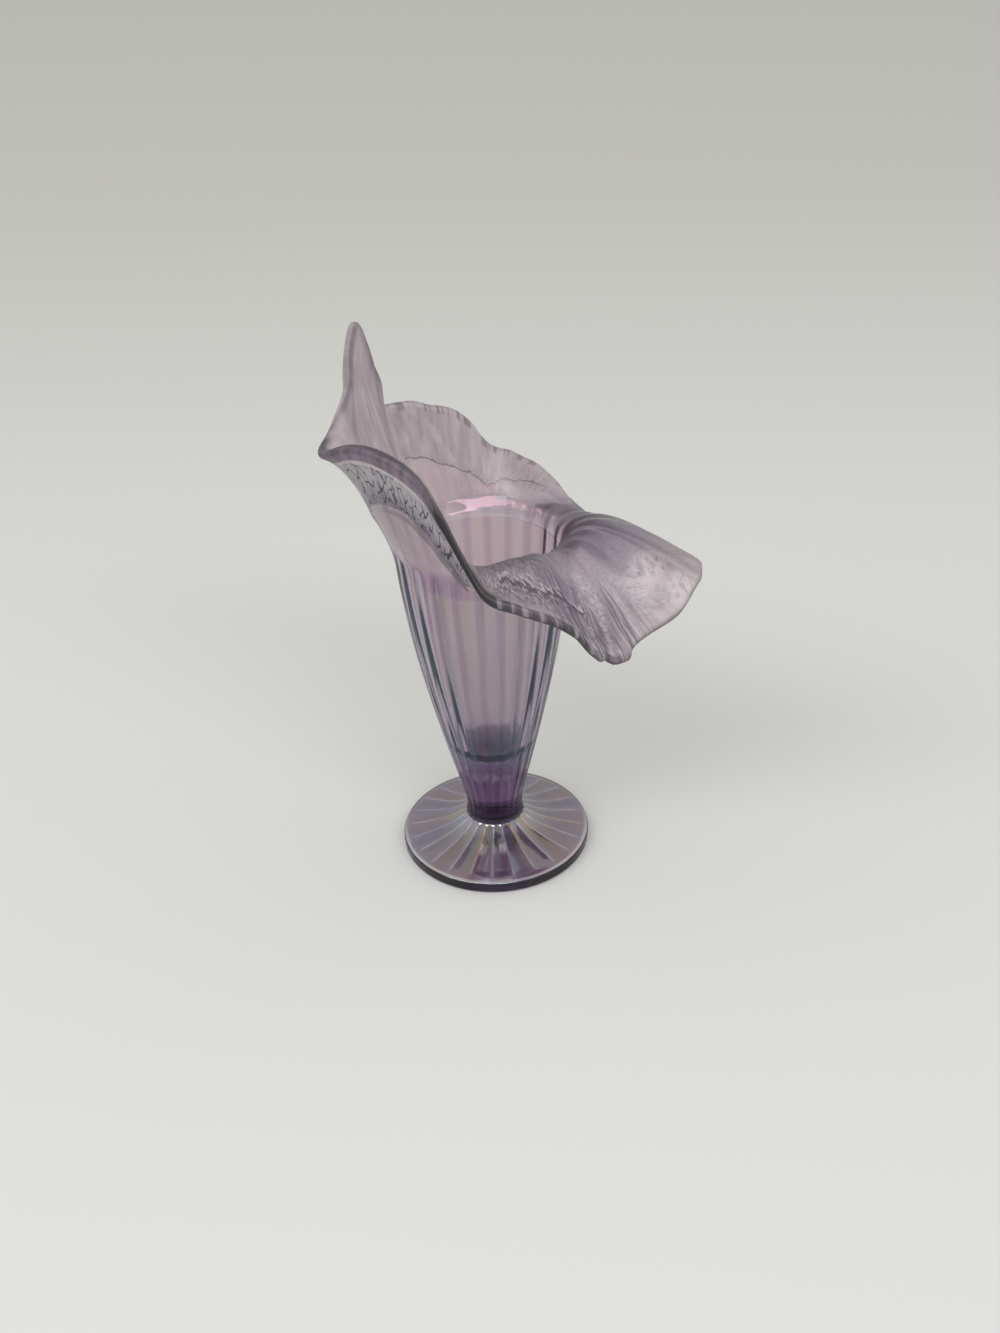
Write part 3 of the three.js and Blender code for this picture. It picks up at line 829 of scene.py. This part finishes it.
def make_vase():
    """Foot, stem, bowl and mouth, each in the place of its solid."""
    pieces = [
        glass_piece(
            "foot_of_glass", [(0, FOOT_SEAM)],
            [(0, None, -1, False), (FOOT_SEAM, None, 1, True)],
            silvered_amethyst("silvered_amethyst_foot"),
        ),
        glass_piece(
            "stem_of_glass", [(FOOT_SEAM, STEM_SEAM)],
            [(FOOT_SEAM, None, -1, True), (STEM_SEAM, None, 1, True)],
            # Pale painted highlights along the stem's ridges
            pressed_amethyst("pressed_amethyst_stem", "#AE8CB8", "#CBAFD2", "#F4EAF6"),
        ),
        glass_piece(
            "bowl_of_glass", [(STEM_SEAM, THROAT_SEAM), (CAVITY_SEAM, LAST_ROW)],
            [(STEM_SEAM, None, -1, True), (THROAT_SEAM, CAVITY_SEAM, 1, True), (LAST_ROW, None, 1, False)],
            # Darker painted shade along the bowl's ridges
            pressed_amethyst("pressed_amethyst_bowl", "#F8E4EA", "#F0F5E8", "#B29DB6"),
        ),
        glass_piece(
            "mouth_of_glass", [(THROAT_SEAM, CAVITY_SEAM)],
            [(THROAT_SEAM, CAVITY_SEAM, -1, True)],
            stretched_amethyst("stretched_amethyst_mouth"),
        ),
    ]
    for piece, node in zip(pieces, ("foot", "stem", "bowl", "mouth")):
        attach(piece, "root")
        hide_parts(node)


def make_floor():
    """A pale matt sheet, a little below the foot so that no two faces coincide. Its colour is painted
    a shade darker from a hand's breadth behind the vase on, as a sheet is that rises away from the
    light."""
    half, drop = 6.0, 0.0002
    mesh = bpy.data.meshes.new("floor")
    corners = [(-half, -half, -drop), (half, -half, -drop), (half, half, -drop), (-half, half, -drop)]
    mesh.from_pydata(corners, [], [(0, 1, 2, 3)])
    paper = bpy.data.materials.new("matt_paper")
    paper.use_nodes = True
    tree = paper.node_tree
    place = add(tree, "ShaderNodeTexCoord", out="Object")
    turned = add(tree, "ShaderNodeMapping", {"Vector": place, "Rotation": (0, 0, -PHOTO_TURN)})
    back = add(tree, "ShaderNodeSeparateXYZ", {0: turned}, out="Y")
    share = add(tree, "ShaderNodeMapRange", {"Value": back, "From Min": 0.2, "From Max": 0.6})
    # Painted shade: darker behind the vase
    tone = coats(tree, linear("#D8D8D6"), [(share, 1, "#CDCCC8")])
    shader = tree.nodes["Principled BSDF"]
    tree.links.new(tone, shader.inputs["Base Color"])
    shader.inputs["Roughness"].default_value = 0.9
    shader.inputs["Specular IOR Level"].default_value = 0.1
    mesh.materials.append(paper)
    floor = bpy.data.objects.new("floor", mesh)
    bpy.context.scene.collection.objects.link(floor)


def soft_lamp(name, place, width, height, power):
    """A rectangle of light that faces the vase. Its place is given as the photograph sees it."""
    lamp = bpy.data.lights.new(name, "AREA")
    lamp.shape = "RECTANGLE"
    lamp.size = width
    lamp.size_y = height
    lamp.energy = power
    place = Matrix.Rotation(PHOTO_TURN, 3, "Z") @ Vector(place)
    facing = (-place).to_track_quat("-Z", "Y").to_matrix().to_4x4()
    window = bpy.data.objects.new(name, lamp)
    window.matrix_world = Matrix.Translation(place) @ facing
    bpy.context.scene.collection.objects.link(window)


def make_light():
    """A soft room that is brighter on the left and on the right, and a wide window in front."""
    world = bpy.data.worlds.new("soft_room")
    bpy.context.scene.world = world
    world.use_nodes = True
    tree = world.node_tree
    tree.nodes.clear()
    direction = add(tree, "ShaderNodeTexCoord", out="Generated")
    turned = add(tree, "ShaderNodeMapping", {"Vector": direction, "Rotation": (0, 0, -PHOTO_TURN)})
    aside = add(tree, "ShaderNodeSeparateXYZ", {0: turned}, out="X")
    aside = add(tree, "ShaderNodeMath", {0: aside}, operation="ABSOLUTE")
    level = add(tree, "ShaderNodeMapRange", {
        "Value": aside, "From Min": 0.3, "From Max": 0.9, "To Min": 0.5, "To Max": 1.06,
    })
    room = add(tree, "ShaderNodeBackground", {"Color": linear("#FFFFFC"), "Strength": level})
    add(tree, "ShaderNodeOutputWorld", {"Surface": room}, out=None)
    soft_lamp("window", (-0.2, -0.85, 1.2), 3.0, 0.4, 16)


def make_camera():
    """A camera fitted to the foot's ellipse and the bowl's outline in the photograph."""
    pitch, roll = math.radians(33.917), math.radians(-2.631)
    place = Vector((180.52, -512.36, 434.86)) * MM
    data = bpy.data.cameras.new("camera")
    data.lens = 54.01
    data.sensor_width = 36
    camera = bpy.data.objects.new("camera", data)
    turned = Matrix.Rotation(PHOTO_TURN, 4, "Z")
    tilted = Matrix.Rotation(math.pi / 2 - pitch, 4, "X")
    camera.matrix_world = Matrix.Translation(place) @ turned @ tilted @ Matrix.Rotation(roll, 4, "Z")
    bpy.context.scene.collection.objects.link(camera)
    bpy.context.scene.camera = camera


bpy.context.scene.view_settings.view_transform = "Standard"
make_vase()
make_floor()
make_light()
make_camera()
